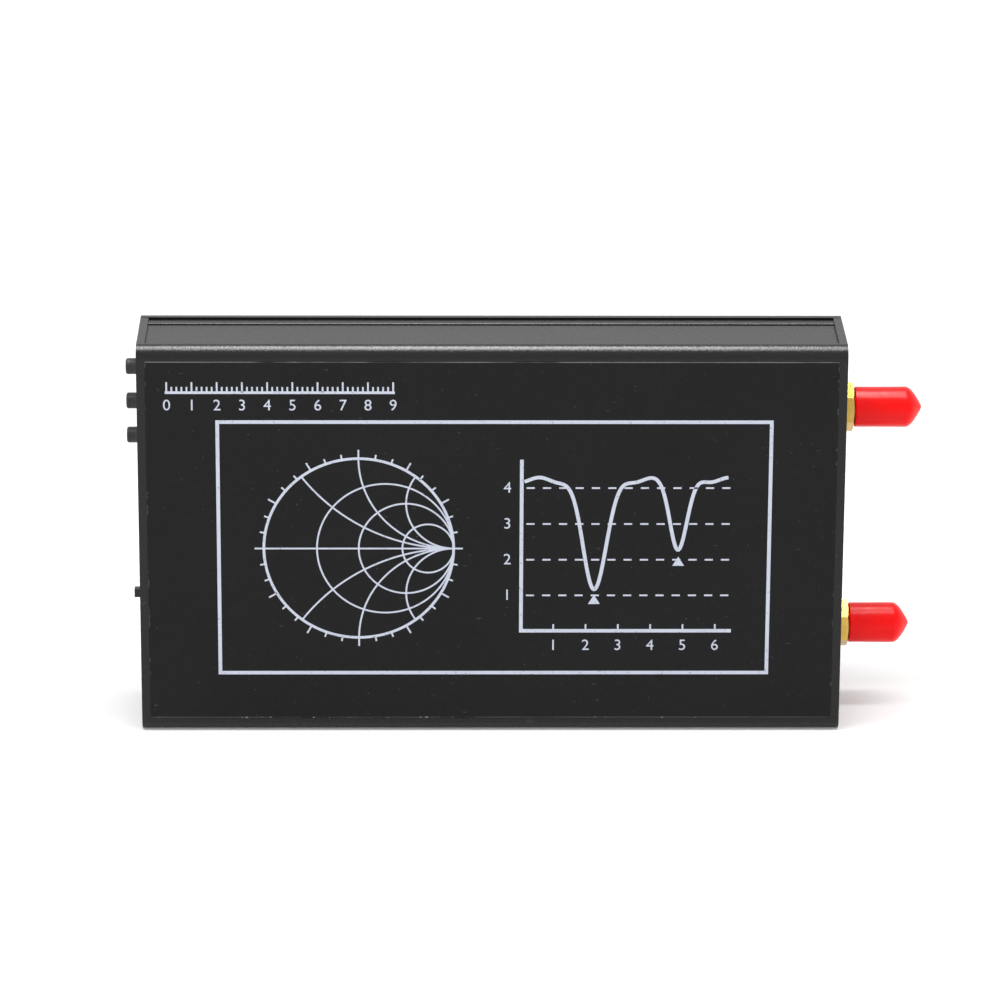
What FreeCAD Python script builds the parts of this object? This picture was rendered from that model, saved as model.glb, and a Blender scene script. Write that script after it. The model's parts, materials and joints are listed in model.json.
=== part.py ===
import FreeCAD, Part
import math
import os
import Sketcher

V = FreeCAD.Vector

# Sizes in millimetres. X runs along the case to the ports, Y from the printed back to the screen,
# Z upwards. Y = 0 is the seam between the shells and Z = 0 the long edge that the case stands on.
SIZES = {
    "case_length": 130.0,
    "case_height": 75.0,
    "rear_depth": 18.6,
    "front_depth": 3.4,
    "wall": 2.0,
    "front_wall": 1.5,
    "plate_thick": 1.5,
    "seam_gap": 0.3,
    "corner_radius": 2.3,
    "bead_width": 2.7,
    "lip_width": 2.4,
    "groove_width": 0.45,
    "groove_depth": 0.9,
    "recess_depth": 0.6,
    "seam_notch": 0.9,
    "lip_radius": 0.3,
    "lip_drop": 0.35,
    "edge_radius": 0.25,
    "tongue_thick": 0.8,
    "tongue_reach": 2.0,
    "slip": 0.1,
    "overrun": 1.0,
    "label_thick": 0.15,
    "label_inset": 2.6,
    "label_rise": 0.05,
    "boss_radius": 2.4,
    "cover_boss_radius": 2.0,
    "boss_inset": 4.2,
    "rear_boss_depth": 3.6,
    "front_boss_depth": 3.4,
    "cover_boss_length": 7.5,
    "screw_radius": 1.25,
    "screw_head_radius": 2.3,
    "screw_length": 7.5,
    "screw_slip": 0.1,
    "hex_key_radius": 0.85,
    "hex_key_depth": 0.7,
    "window_side": 4.25,
    "window_edge": 5.6,
    "window_radius": 1.0,
    "panel_end_gap": 10.75,
    "panel_edge_gap": 1.0,
    "panel_thick": 1.1,
    "gasket_gap": 0.5,
    "gasket_thick": 0.3,
    "display_thick": 2.9,
    "display_step": 0.4,
    "pad_width": 5.0,
    "pad_inset": 7.0,
    "pad_end_gap": 17.6,
    "board_thick": 1.6,
    "board_centre": 4.8,
    "board_side_gap": 4.5,
    "board_edge_gap": 0.25,
    "spacer_radius": 2.2,
    "spacer_gap": 0.65,
    "spacer_inset": 3.2,
    "spacer_web": 1.0,
    "board_screw_radius": 1.0,
    "board_screw_head": 1.9,
    "board_screw_cap": 1.3,
    "board_screw_length": 5.5,
    "flex_width": 20.0,
    "flex_thick": 0.2,
    "flex_inset": 16.1,
    "flex_land": 6.0,
    "flex_run": 4.0,
    "flex_entry": 1.0,
    "flex_socket_width": 24.0,
    "flex_socket_depth": 5.0,
    "flex_socket_thick": 1.2,
    "shield_length": 30.0,
    "shield_height": 20.0,
    "shield_tall": 3.0,
    "shield_sheet": 0.25,
    "shield_gap": 0.7,
    "chip_gap": 3.0,
    "chip_side": 14.0,
    "chip_tall": 1.2,
    "chip_rise": 2.0,
    "small_chip_side": 5.0,
    "small_chip_pitch": 10.0,
    "battery_left_gap": 11.5,
    "battery_right_gap": 15.5,
    "battery_edge_gap": 0.9,
    "battery_thick": 5.5,
    "battery_radius": 2.0,
    "tape_thick": 0.3,
    "tape_width": 12.0,
    "tape_inset": 14.0,
    "lead_radius": 0.5,
    "lead_pitch": 2.0,
    "lead_out": 4.0,
    "lead_bend": 1.8,
    "plug_side": 4.5,
    "plug_tall": 1.6,
    "plug_width": 5.6,
    "socket_tall": 2.4,
    "button_radius": 1.5,
    "button_slip": 0.08,
    "button_rise": 2.5,
    "button_rim": 0.45,
    "button_flange_radius": 2.1,
    "button_flange_thick": 0.6,
    "button_travel": 0.35,
    "button_pitch": 6.65,
    "top_button_inset": 7.1,
    "switch_depth": 1.8,
    "plunger_radius": 0.9,
    "plunger_length": 1.7,
    "plunger_bore": 1.3,
    "housing_length": 3.4,
    "housing_side": 5.4,
    "knob_drop": 8.0,
    "knob_side": 1.6,
    "knob_rise": 1.6,
    "knob_travel": 2.0,
    "slider_slip": 0.2,
    "slider_foot": 1.4,
    "power_body_length": 3.6,
    "power_body_height": 8.6,
    "power_body_tall": 3.4,
    "usb_rise": 3.5,
    "usb_radius": 1.5,
    "usb_width": 8.94,
    "usb_tall": 3.26,
    "usb_sheet": 0.3,
    "usb_length": 7.3,
    "usb_slip": 0.15,
    "usb_tongue_width": 6.7,
    "usb_tongue_thick": 0.7,
    "usb_tongue_length": 5.4,
    "usb_base": 1.2,
    "lamp_drop": 9.4,
    "lamp_pitch": 2.8,
    "lamp_hole_radius": 0.6,
    "lamp_side": 1.5,
    "upper_port_inset": 15.75,
    "lower_port_inset": 16.55,
    "thread_radius": 3.175,
    "port_slip": 0.08,
    "port_length": 8.0,
    "port_block": 7.0,
    "port_block_thick": 2.8,
    "port_prong_length": 4.2,
    "port_prong_width": 1.2,
    "port_prong_tall": 1.0,
    "port_mouth_radius": 2.35,
    "port_mouth_depth": 2.0,
    "insulator_radius": 2.05,
    "insulator_slip": 0.02,
    "contact_radius": 0.64,
    "contact_hole_radius": 0.45,
    "contact_hole_depth": 2.2,
    "washer_radius": 4.0,
    "washer_thick": 0.45,
    "nut_flats": 8.0,
    "nut_thick": 1.75,
    "nut_edge": 0.4,
    "upper_nut_turn": 52.0,
    "lower_nut_turn": 58.0,
    "cap_gap": 0.2,
    "cap_radius": 3.8,
    "cap_bore_slip": 0.05,
    "cap_end_wall": 4.6,
    "upper_cap_length": 12.5,
    "lower_cap_length": 11.3,
    "cap_taper_length": 3.3,
    "cap_shoulder_round": 1.8,
    "cap_nub_radius": 1.9,
    "cap_nub_length": 0.9,
    "cap_tip_radius": 1.1,
    "cap_tip_round": 0.6,
    "cap_rim": 0.3,
}

doc = FreeCAD.newDocument("antenna_analyzer")
sheet = doc.addObject("Spreadsheet::Sheet", "Sizes")
for row, (word, size) in enumerate(SIZES.items(), start=1):
    sheet.set(f"A{row}", word)
    sheet.set(f"B{row}", str(size))
    sheet.setAlias(f"B{row}", word)
doc.recompute()


def sized(text):
    """The expression with each size's name pointed at its cell in the sheet."""
    out = []
    word = ""
    for letter in f"{text} ":
        if letter.isalnum() or letter == "_":
            word += letter
            continue
        out.append(f"Sizes.{word}" if word in SIZES else word)
        out.append(letter)
        word = ""
    return "".join(out).strip()


def value(text):
    return float(sheet.evalExpression(sized(text)))


# Places that several pieces share
SHELL_END = "(case_length / 2 - plate_thick)"
BACK_INNER = "(-rear_depth + wall)"
REAR_BOSS_Y = "(-rear_depth + rear_boss_depth)"
FRONT_BOSS_Y = "(front_depth - front_boss_depth)"
FRONT_INNER = "(front_depth - front_wall)"
PANEL_BACK = f"({FRONT_INNER} - gasket_thick - panel_thick)"
DISPLAY_BACK = f"({PANEL_BACK} - display_thick)"
BOARD_FRONT = "(-board_centre + board_thick / 2)"
BOARD_BACK = "(-board_centre - board_thick / 2)"
BOARD_LEFT = f"(-{SHELL_END} + slip + button_flange_thick + button_travel + board_edge_gap)"
BOARD_RIGHT = f"({SHELL_END} - port_block_thick)"
BOARD_LOW = "(wall + board_side_gap)"
SWITCH_Y = f"({BOARD_BACK} - switch_depth)"
MIDDLE_Z = "(case_height / 2)"
PLUNGER_TIP = f"(-{SHELL_END} + slip + button_flange_thick + slip)"
HOUSING_X = f"({PLUNGER_TIP} + plunger_length - plunger_bore + button_travel)"
NUT_X = "(case_length / 2 + washer_thick)"
CAP_X = f"({NUT_X} + nut_thick + cap_gap)"
USB_Y = f"({BOARD_BACK} - usb_tall / 2)"
PANEL_END = f"({SHELL_END} - panel_end_gap)"
PANEL_LOW = "(wall + slip + tongue_thick + panel_edge_gap)"
SPACER_X = f"({PANEL_END} + spacer_radius + spacer_gap)"
SHIELD_RIGHT = f"({SPACER_X} - board_screw_head - shield_gap)"
CHIP_LEFT = f"({SHIELD_RIGHT} - shield_length - chip_gap - 3 * small_chip_pitch - small_chip_side)"
FLEX_Z = f"({PANEL_LOW} + flex_inset)"
USB_Z = f"({MIDDLE_Z} + usb_rise)"
LAMP_Z = f"({USB_Z} - lamp_drop)"
KNOB_Z = f"({LAMP_Z} - knob_drop)"

parts = []


def part(obj, label):
    obj.Label = label
    parts.append(obj)
    return obj


def place(obj, x="0", y="0", z="0"):
    for axis, text in zip("xyz", (x, y, z)):
        obj.setExpression(f"Placement.Base.{axis}", sized(text))


def box(name, x, y, z):
    """A block from the low and high expression of each axis."""
    block = doc.addObject("Part::Box", name)
    for size, (low, high) in zip(("Length", "Width", "Height"), (x, y, z)):
        block.setExpression(size, sized(f"({high}) - ({low})"))
    place(block, x[0], y[0], z[0])
    return block


def rod(name, x, length, y, z, radius, turn=V(0, 1, 0)):
    """A cylinder that starts at x, y, z and runs along X, or along another axis by its turn."""
    cylinder = doc.addObject("Part::Cylinder", name)
    cylinder.setExpression("Radius", sized(radius))
    cylinder.setExpression("Height", sized(length))
    cylinder.Placement = FreeCAD.Placement(V(0, 0, 0), FreeCAD.Rotation(turn, 90))
    place(cylinder, x, y, z)
    return cylinder


def cut(name, base, tool):
    result = doc.addObject("Part::Cut", name)
    result.Base, result.Tool = base, tool
    return result


def fuse(name, shapes):
    result = doc.addObject("Part::MultiFuse", name)
    result.Shapes = shapes
    return result


def group(name, shapes):
    result = doc.addObject("Part::Compound", name)
    result.Links = shapes
    return result


def sketch(body, role, offset="0"):
    """A sketch on one of the body's origin planes, moved along the plane's normal."""
    drawing = body.newObject("Sketcher::SketchObject", f"{body.Name}_{role[:2]}")
    planes = {feature.Role: feature for feature in body.Origin.OriginFeatures}
    drawing.AttachmentSupport = [(planes[role], "")]
    drawing.MapMode = "FlatFace"
    drawing.setExpression("AttachmentOffset.Base.z", sized(offset))
    return drawing


def pin_point(drawing, line, end, spot):
    """Fixes a point of a line or circle by the expressions of its two coordinates."""
    for kind, text in zip(("DistanceX", "DistanceY"), spot):
        made = drawing.addConstraint(Sketcher.Constraint(kind, -1, 1, line, end, value(text)))
        drawing.setExpression(f"Constraints[{made}]", sized(text))


def circle(drawing, u, v, radius):
    made = drawing.addGeometry(Part.Circle(V(value(u), value(v), 0), V(0, 0, 1), value(radius)))
    pin_point(drawing, made, 3, (u, v))
    bound = drawing.addConstraint(Sketcher.Constraint("Radius", made, value(radius)))
    drawing.setExpression(f"Constraints[{bound}]", sized(radius))


def outline(drawing, corners):
    """A closed outline through corners (u, v), or (u, v, radius) where sides along the axes meet in an arc."""
    spots = [(value(c[0]), value(c[1])) for c in corners]
    runs = []
    for i, corner in enumerate(corners):
        u, v = corner[:2]
        if len(corner) == 2:
            runs.append([(u, v)])
            continue
        radius = corner[2]
        last, here, following = spots[i - 1], spots[i], spots[(i + 1) % len(spots)]
        into = [math.copysign(1, b - a) if abs(b - a) > 1e-6 else 0 for a, b in zip(last, here)]
        away = [math.copysign(1, b - a) if abs(b - a) > 1e-6 else 0 for a, b in zip(here, following)]
        start = tuple(f"({c}) - ({d:g}) * ({radius})" for c, d in zip((u, v), into))
        end = tuple(f"({c}) + ({d:g}) * ({radius})" for c, d in zip((u, v), away))
        left = into[0] * away[1] - into[1] * away[0] > 0
        runs.append([start, end, radius, [a - b for a, b in zip(away, into)], left])
    lines = []
    for i, run in enumerate(runs):
        start = run[1] if len(run) > 2 else run[0]
        end = runs[(i + 1) % len(runs)][0]
        a, b = (V(value(p[0]), value(p[1]), 0) for p in (start, end))
        line = drawing.addGeometry(Part.LineSegment(a, b))
        pin_point(drawing, line, 1, start)
        if len(runs[(i + 1) % len(runs)]) > 2:
            pin_point(drawing, line, 2, end)
        lines.append(line)
    for i, run in enumerate(runs):
        if len(run) == 1:
            drawing.addConstraint(Sketcher.Constraint("Coincident", lines[i - 1], 2, lines[i], 1))
            continue
        start, end, radius, inward, left = run
        reach = value(radius)
        corner = spots[i]
        middle = V(corner[0] + inward[0] * reach, corner[1] + inward[1] * reach, 0)
        first, second = (start, end) if left else (end, start)
        angles = [math.atan2(value(p[1]) - middle.y, value(p[0]) - middle.x) for p in (first, second)]
        ring = Part.Circle(middle, V(0, 0, 1), reach)
        arc = drawing.addGeometry(Part.ArcOfCircle(ring, angles[0], angles[1]))
        before, after = (1, 2) if left else (2, 1)
        drawing.addConstraint(Sketcher.Constraint("Coincident", lines[i - 1], 2, arc, before))
        drawing.addConstraint(Sketcher.Constraint("Coincident", arc, after, lines[i], 1))
        bound = drawing.addConstraint(Sketcher.Constraint("Radius", arc, reach))
        drawing.setExpression(f"Constraints[{bound}]", sized(radius))


def new_body(name):
    return doc.addObject("PartDesign::Body", name)


def pad(body, drawing, length):
    feature = body.newObject("PartDesign::Pad", f"{body.Name}_pad")
    feature.Profile = drawing
    feature.setExpression("Length", sized(length))
    return feature


def pocket(body, drawing, depth, along_normal=False):
    """A cut that runs against the sketch's normal, or along it; it has to take material away."""
    doc.recompute()
    before = body.Shape.Volume
    feature = body.newObject("PartDesign::Pocket", f"{body.Name}_pocket")
    feature.Profile = drawing
    feature.Reversed = along_normal
    feature.setExpression("Length", sized(depth))
    doc.recompute()
    if body.Shape.Volume >= before - 1e-6:
        raise RuntimeError(f"{body.Name}: a pocket took nothing away")
    return feature


def turned(name, profile, x="0", y="0", z="0"):
    """A body turned about its own X axis from (along, radius) points, then put in place."""
    body = new_body(name)
    drawing = sketch(body, "XZ_Plane")
    outline(drawing, profile)
    feature = body.newObject("PartDesign::Revolution", f"{name}_turn")
    feature.Profile = drawing
    feature.ReferenceAxis = (drawing, ["H_Axis"])
    feature.Angle = 360
    place(body, x, y, z)
    return body


def round_rims(body, rims, radius):
    """Rounds the circular edges of a turned body that lie at the given (along, radius) places."""
    doc.recompute()
    tip = body.Tip
    wanted = [(value(a), value(r)) for a, r in rims]
    names = []
    for number, edge in enumerate(tip.Shape.Edges, start=1):
        curve = edge.Curve
        if isinstance(curve, Part.Circle):
            here = (curve.Center.x, curve.Radius)
            if any(math.dist(here, spot) < 1e-4 for spot in wanted):
                names.append(f"Edge{number}")
    feature = body.newObject("PartDesign::Fillet", f"{body.Name}_round")
    feature.Base = (tip, names)
    feature.setExpression("Radius", sized(radius))
    doc.recompute()


# Corners of the side of the case, for the lower edge; the upper edge mirrors them
RECESS_BACK = "(-rear_depth + bead_width + groove_width)"
LIP_BACK = "(-seam_gap / 2 - lip_width)"


def rear_edge():
    """From the back face round the corner bead, groove, recess and lip to the seam."""
    return [
        ("-rear_depth", "0", "corner_radius"),
        ("-rear_depth + bead_width", "0"),
        ("-rear_depth + bead_width", "groove_depth"),
        (RECESS_BACK, "groove_depth"),
        (RECESS_BACK, "recess_depth"),
        (f"{LIP_BACK} - groove_width", "recess_depth"),
        (f"{LIP_BACK} - groove_width", "groove_depth"),
        (LIP_BACK, "groove_depth"),
        (LIP_BACK, "lip_drop", "lip_radius"),
        ("-seam_gap / 2", "lip_drop"),
    ]


def raised(corners):
    """The same corners mirrored to the upper long edge, in the opposite order."""
    return [(c[0], f"case_height - ({c[1]})", *c[2:]) for c in reversed(corners)]


def rear_shell():
    """The deep extruded channel with four screw channels along its length."""
    body = new_body("rear_shell")
    drawing = sketch(body, "YZ_Plane", f"-{SHELL_END}")
    back = [("-rear_depth + label_thick - label_rise", "label_inset"), ("-rear_depth", "label_inset")]
    inner = [
        ("-seam_gap / 2", "case_height - wall"),
        (BACK_INNER, "case_height - wall", "edge_radius"),
        (BACK_INNER, "wall", "edge_radius"),
        ("-seam_gap / 2", "wall"),
    ]
    outline(drawing, rear_edge() + list(reversed(inner)) + raised(rear_edge()) + raised(back) + back)
    pad(body, drawing, f"2 * {SHELL_END}")
    tapped_bosses(body, REAR_BOSS_Y, "boss_radius", f"2 * {SHELL_END}", [f"-{SHELL_END}"])
    part(body, "rear_shell")


def boss_rows(y):
    return [(y, "boss_inset"), (y, "case_height - boss_inset")]


def boss_places():
    return boss_rows(REAR_BOSS_Y) + boss_rows(FRONT_BOSS_Y)


def tapped_bosses(body, y, radius, length, starts):
    """Round bosses at both long edges, from each start along X, with the bores for the plate screws."""
    for start in starts:
        bosses = sketch(body, "YZ_Plane", start)
        for spot in boss_rows(y):
            circle(bosses, *spot, radius)
        pad(body, bosses, length)
    bores = sketch(body, "YZ_Plane", SHELL_END)
    for spot in boss_rows(y):
        circle(bores, *spot, "screw_radius + screw_slip / 2")
    pocket(body, bores, f"2 * {SHELL_END}")


def front_cover():
    """The shallow cover: a plate with turned edges, tongues inside the shell, and the window."""
    body = new_body("front_cover")
    drawing = sketch(body, "YZ_Plane", f"-{SHELL_END}")
    tongue = "wall + slip + tongue_thick"
    low = [
        (FRONT_INNER, tongue),
        ("-tongue_reach", tongue),
        ("-tongue_reach", "wall + slip"),
        ("seam_gap / 2", "wall + slip"),
        ("seam_gap / 2", "0"),
        ("front_depth", "0", "corner_radius"),
    ]
    outline(drawing, low + raised(low))
    pad(body, drawing, f"2 * {SHELL_END}")
    starts = [f"-{SHELL_END}", f"{SHELL_END} - cover_boss_length"]
    tapped_bosses(body, FRONT_BOSS_Y, "cover_boss_radius", "cover_boss_length", starts)
    opening = sketch(body, "XZ_Plane", "-front_depth")
    outline(opening, window_corners("window_side", "window_edge", "window_radius"))
    pocket(body, opening, "front_wall", True)
    part(body, "front_cover")


def window_corners(side, edge, radius=None):
    """Corners of a rectangle in X and Z, drawn in from the ends and edges of the touch panel."""
    end = (radius,) if radius else ()
    low, high = f"{PANEL_LOW} + {edge}", f"case_height - {PANEL_LOW} - ({edge})"
    left, right = f"-{PANEL_END} + {side}", f"{PANEL_END} - ({side})"
    return [(left, low, *end), (right, low, *end), (right, high, *end), (left, high, *end)]


def slot_corners(y, z, tall, wide, radius):
    """Corners of a rounded slot about y, z in the plane of an end plate."""
    low, high = f"{z} - ({wide}) / 2", f"{z} + ({wide}) / 2"
    back, front = f"{y} - ({tall}) / 2", f"{y} + ({tall}) / 2"
    return [(back, low, radius), (front, low, radius), (front, high, radius), (back, high, radius)]


def plate_body(name, offset):
    """A plate with the plain outline of the closed case, its seam notch and its screw holes."""
    body = new_body(name)
    drawing = sketch(body, "YZ_Plane", offset)
    low = [
        ("-rear_depth", "0", "corner_radius"),
        ("-seam_gap / 2", "0"),
        ("-seam_gap / 2", "seam_notch"),
        ("seam_gap / 2", "seam_notch"),
        ("seam_gap / 2", "0"),
        ("front_depth", "0", "corner_radius"),
    ]
    outline(drawing, low + raised(low))
    for y, z in boss_places():
        circle(drawing, y, z, "screw_radius + screw_slip")
    return body, drawing


def countersink(body, outer_face, inwards):
    """A cone into the outer face at each screw: a loft between two circles."""
    for y, z in boss_places():
        wide = sketch(body, "YZ_Plane", outer_face)
        circle(wide, y, z, "screw_head_radius + screw_slip")
        narrow = sketch(body, "YZ_Plane", f"{outer_face} {inwards} (screw_head_radius - screw_radius)")
        circle(narrow, y, z, "screw_radius + screw_slip")
        feature = body.newObject("PartDesign::SubtractiveLoft", f"{body.Name}_sink")
        feature.Profile = wide
        feature.Sections = [narrow]


def button_z(number):
    return f"(case_height - top_button_inset - {number - 1} * button_pitch)"


def port_z(number):
    return "(case_height - upper_port_inset)" if number == 1 else "lower_port_inset"


def left_end_plate():
    body, drawing = plate_body("left_end_plate", "-case_length / 2")
    for number in (1, 2, 3):
        circle(drawing, SWITCH_Y, button_z(number), "button_radius + button_slip")
    knob_room = "knob_side + 2 * slider_slip"
    slot_z = f"({KNOB_Z} + knob_travel / 2)"
    outline(drawing, slot_corners(SWITCH_Y, slot_z, knob_room, f"{knob_room} + knob_travel", "slider_slip"))
    usb_tall = "(usb_tall + 2 * usb_slip)"
    usb_round = "(usb_radius + usb_slip)"
    outline(drawing, slot_corners(USB_Y, USB_Z, usb_tall, "usb_width + 2 * usb_slip", usb_round))
    for step in (0, 1):
        circle(drawing, SWITCH_Y, f"{LAMP_Z} + {step} * lamp_pitch", "lamp_hole_radius")
    pad(body, drawing, "plate_thick")
    countersink(body, "-case_length / 2", "+")
    part(body, "left_end_plate")


def right_end_plate():
    body, drawing = plate_body("right_end_plate", SHELL_END)
    for number in (1, 2):
        circle(drawing, "-board_centre", port_z(number), "thread_radius + port_slip")
    pad(body, drawing, "plate_thick")
    countersink(body, "case_length / 2", "-")
    part(body, "right_end_plate")


def plate_screws(label, facing):
    """Four countersunk screws with hexagon sockets; facing is the sign of the plate's side."""
    screws = []
    face = f"({facing} * case_length / 2)"
    head = f"({-facing} * (screw_head_radius - screw_radius))"
    tip = f"({-facing} * screw_length)"
    for number, (y, z) in enumerate(boss_places(), start=1):
        name = f"{label}_{number}"
        profile = [
            ("0", "0"),
            ("0", "screw_head_radius"),
            (head, "screw_radius"),
            (tip, "screw_radius"),
            (tip, "0"),
        ]
        screw = turned(f"{name}_blank", profile, face, y, z)
        key = doc.addObject("Part::Prism", f"{name}_key")
        key.Polygon = 6
        key.setExpression("Circumradius", sized("hex_key_radius"))
        key.setExpression("Height", sized("2 * hex_key_depth"))
        key.Placement = FreeCAD.Placement(V(0, 0, 0), FreeCAD.Rotation(V(0, 1, 0), 90))
        place(key, f"{face} - hex_key_depth", y, z)
        screws.append(cut(name, screw, key))
    part(group(f"{label}_group", screws), label)


def back_label():
    y = ("-rear_depth - label_rise", "-rear_depth + label_thick - label_rise")
    x = (f"-{SHELL_END} + slip", f"{SHELL_END} - slip")
    z = ("label_inset + slip", "case_height - label_inset - slip")
    part(box("label_sheet", x, y, z), "back_label")


def display_stack():
    """Gasket, touch panel and display, laid on the cover's inner face from front to back."""
    frame = new_body("display_gasket")
    drawing = sketch(frame, "XZ_Plane", f"-{FRONT_INNER}")
    outline(drawing, window_corners("0", "0"))
    outline(drawing, window_corners("window_side - gasket_gap", "window_edge - gasket_gap"))
    pad(frame, drawing, "gasket_thick")
    part(frame, "display_gasket")
    x = (f"-{PANEL_END}", PANEL_END)
    z = (PANEL_LOW, f"case_height - {PANEL_LOW}")
    part(box("touch_sheet", x, (PANEL_BACK, f"{FRONT_INNER} - gasket_thick"), z), "touch_panel")
    module_x = (f"{x[0]} + display_step", f"{x[1]} - display_step")
    module_z = (f"{z[0]} + display_step", f"{z[1]} - display_step")
    block = box("display_block", module_x, (DISPLAY_BACK, PANEL_BACK), module_z)
    part(block, "display_module")
    pads = []
    for side, z_low in enumerate((f"{z[0]} + pad_inset", f"{z[1]} - pad_inset - pad_width")):
        pads.append(
            box(
                f"display_pad_{side}",
                (f"{x[0]} + pad_end_gap", f"{x[1]} - pad_end_gap"),
                (BOARD_FRONT, DISPLAY_BACK),
                (z_low, f"{z_low} + pad_width"),
            )
        )
    part(group("display_pad_pair", pads), "display_pads")


def display_flex():
    """A ribbon from the display's back, stepping down into its socket on the board."""
    body = new_body("display_flex")
    drawing = sketch(body, "YZ_Plane", "-flex_width / 2")
    low = f"{BOARD_FRONT} + flex_socket_thick / 2"
    landing = f"{FLEX_Z} + flex_land"
    step, end = f"{landing} + flex_run", f"{landing} + 2 * flex_run"
    corners = [
        (DISPLAY_BACK, FLEX_Z),
        (DISPLAY_BACK, landing),
        (f"{low} + flex_thick", step),
        (f"{low} + flex_thick", end),
        (low, end),
        (low, step),
        (f"{DISPLAY_BACK} - flex_thick", landing),
        (f"{DISPLAY_BACK} - flex_thick", FLEX_Z),
    ]
    outline(drawing, corners)
    pad(body, drawing, "flex_width")
    part(body, "display_flex")
    socket = box(
        "flex_socket_block",
        ("-flex_socket_width / 2", "flex_socket_width / 2"),
        (BOARD_FRONT, f"{BOARD_FRONT} + flex_socket_thick"),
        (f"{end} - flex_entry", f"{end} - flex_entry + flex_socket_depth"),
    )
    mouth = box(
        "flex_socket_mouth",
        ("-flex_width / 2 - slip", "flex_width / 2 + slip"),
        (f"{low} - slip", f"{low} + flex_thick + slip"),
        (f"{end} - 2 * flex_entry", f"{end} + slip"),
    )
    part(cut("flex_socket", socket, mouth), "display_socket")


def spacer_places():
    low, high = f"{BOARD_LOW} + spacer_inset", f"case_height - {BOARD_LOW} - spacer_inset"
    return [(x, z) for x in (f"-{SPACER_X}", SPACER_X) for z in (low, high)]


def main_board():
    body = new_body("main_board")
    drawing = sketch(body, "XZ_Plane", f"-{BOARD_FRONT}")
    high = f"case_height - {BOARD_LOW}"
    outline(drawing, [(BOARD_LEFT, BOARD_LOW), (BOARD_RIGHT, BOARD_LOW), (BOARD_RIGHT, high), (BOARD_LEFT, high)])
    for x, z in spacer_places():
        circle(drawing, x, z, "board_screw_radius + screw_slip")
    pad(body, drawing, "board_thick")
    part(body, "main_board")


def board_fixings():
    """Tapped spacers on the cover's inner face, and the screws that hold the board to them."""
    spacers, screws = [], []
    turn = V(1, 0, 0)
    for number, (x, z) in enumerate(spacer_places(), start=1):
        length = f"{FRONT_INNER} - {BOARD_FRONT}"
        post = rod(f"spacer_post_{number}", x, length, FRONT_INNER, z, "spacer_radius", turn)
        bore = rod(f"spacer_bore_{number}", x, f"{length} - spacer_web", f"{FRONT_INNER} - spacer_web", z,
                   "board_screw_radius + screw_slip / 2", turn)
        spacers.append(cut(f"spacer_{number}", post, bore))
        head = rod(f"board_screw_head_{number}", x, "board_screw_cap", BOARD_BACK, z, "board_screw_head", turn)
        shank = rod(f"board_screw_shank_{number}", x, "board_screw_length", f"{BOARD_BACK} + board_screw_length",
                    z, "board_screw_radius", turn)
        screws.append(fuse(f"board_screw_{number}", [head, shank]))
    part(group("spacer_set", spacers), "board_spacers")
    part(group("board_screw_set", screws), "board_screws")


def board_parts():
    """Shield cans behind the ports, the processor and the row of smaller chips."""
    for number in (1, 2):
        y = (f"{BOARD_BACK} - shield_tall", BOARD_BACK)
        x = (f"{SHIELD_RIGHT} - shield_length", SHIELD_RIGHT)
        z = (f"{port_z(number)} - shield_height / 2", f"{port_z(number)} + shield_height / 2")
        z = (z[0], f"{z[1]} - spacer_inset") if number == 1 else (f"{z[0]} + spacer_inset", z[1])
        can = box(f"shield_block_{number}", x, y, z)
        room = box(
            f"shield_room_{number}",
            (f"{x[0]} + shield_sheet", f"{x[1]} - shield_sheet"),
            (f"{y[0]} + shield_sheet", f"{y[1]} + overrun"),
            (f"{z[0]} + shield_sheet", f"{z[1]} - shield_sheet"),
        )
        part(cut(f"shield_{number}", can, room), f"shield_can_{number}")
    y = (f"{BOARD_BACK} - chip_tall", BOARD_BACK)
    chip_z = f"({MIDDLE_Z} + chip_rise)"
    x = (CHIP_LEFT, f"{CHIP_LEFT} + chip_side")
    part(box("processor", x, y, (f"{chip_z} - chip_side / 2", f"{chip_z} + chip_side / 2")), "processor_chip")
    small = []
    for step in range(4):
        left = f"{CHIP_LEFT} + {step} * small_chip_pitch"
        low = f"{chip_z} - chip_side / 2 - small_chip_pitch"
        small.append(
            box(f"small_chip_{step}", (left, f"{left} + small_chip_side"), y, (low, f"{low} + small_chip_side"))
        )
    part(group("small_chips", small), "signal_chips")


BATTERY_BACK = f"({BACK_INNER} + tape_thick)"
BATTERY_FRONT = f"({BATTERY_BACK} + battery_thick)"
BATTERY_START = f"(-{SHELL_END} + battery_left_gap)"
BATTERY_END = f"({SHELL_END} - battery_right_gap)"
PLUG_BACK = f"({BOARD_BACK} - socket_tall - plug_tall)"


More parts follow.
